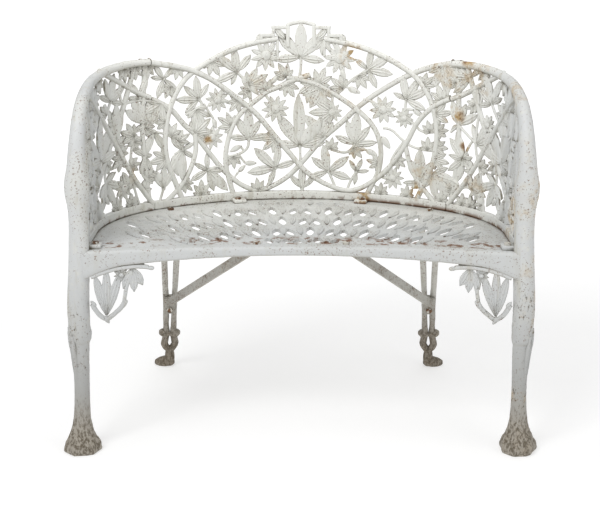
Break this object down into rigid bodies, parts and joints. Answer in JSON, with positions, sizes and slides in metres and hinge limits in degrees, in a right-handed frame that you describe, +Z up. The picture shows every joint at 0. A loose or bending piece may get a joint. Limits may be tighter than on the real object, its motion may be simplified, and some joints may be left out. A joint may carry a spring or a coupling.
{
  "type": "cast iron garden seat",
  "caption": "Half-round garden seat in cast iron with a lobed, pierced vine-and-leaf back, a pierced seat plate, branch-shaped legs and flat diagonal stays.",
  "frame": {"origin": "on the floor, under the middle of the seat's overall box", "axes": "+Z up, +X to the right as seen from the front, +Y from the front of the seat to its back"},
  "size_m": [0.984, 0.5336, 0.868],
  "materials": {
    "painted_castings": "old white paint, lightly flaked, with rust specks",
    "painted_seat": "old white paint, worn and rust stained",
    "weathered_legs": "old white paint, dirty and partly bare",
    "rusty_fasteners": "rusted"
  },
  "bodies": {
    "root": {"back_panel": "painted_castings", "right_side_frame": "painted_castings", "left_side_frame": "painted_castings", "seat_plate": "painted_seat", "right_corner_bracket": "painted_castings", "left_corner_bracket": "painted_castings", "right_rear_leg": "weathered_legs", "left_rear_leg": "weathered_legs", "right_stay": "weathered_legs", "left_stay": "weathered_legs", "back_lug_bolts": "rusty_fasteners", "back_lug_nuts": "rusty_fasteners", "corner_lug_bolts": "rusty_fasteners", "corner_lug_nuts": "rusty_fasteners", "panel_joint_bolts": "rusty_fasteners", "panel_joint_nuts": "rusty_fasteners", "rear_leg_bolts": "rusty_fasteners", "rear_leg_nuts": "rusty_fasteners", "stay_front_bolts": "rusty_fasteners", "stay_front_nuts": "rusty_fasteners", "stay_rear_bolts": "rusty_fasteners", "stay_rear_nuts": "rusty_fasteners", "bracket_screws": "rusty_fasteners"}
  },
  "joints": []
}
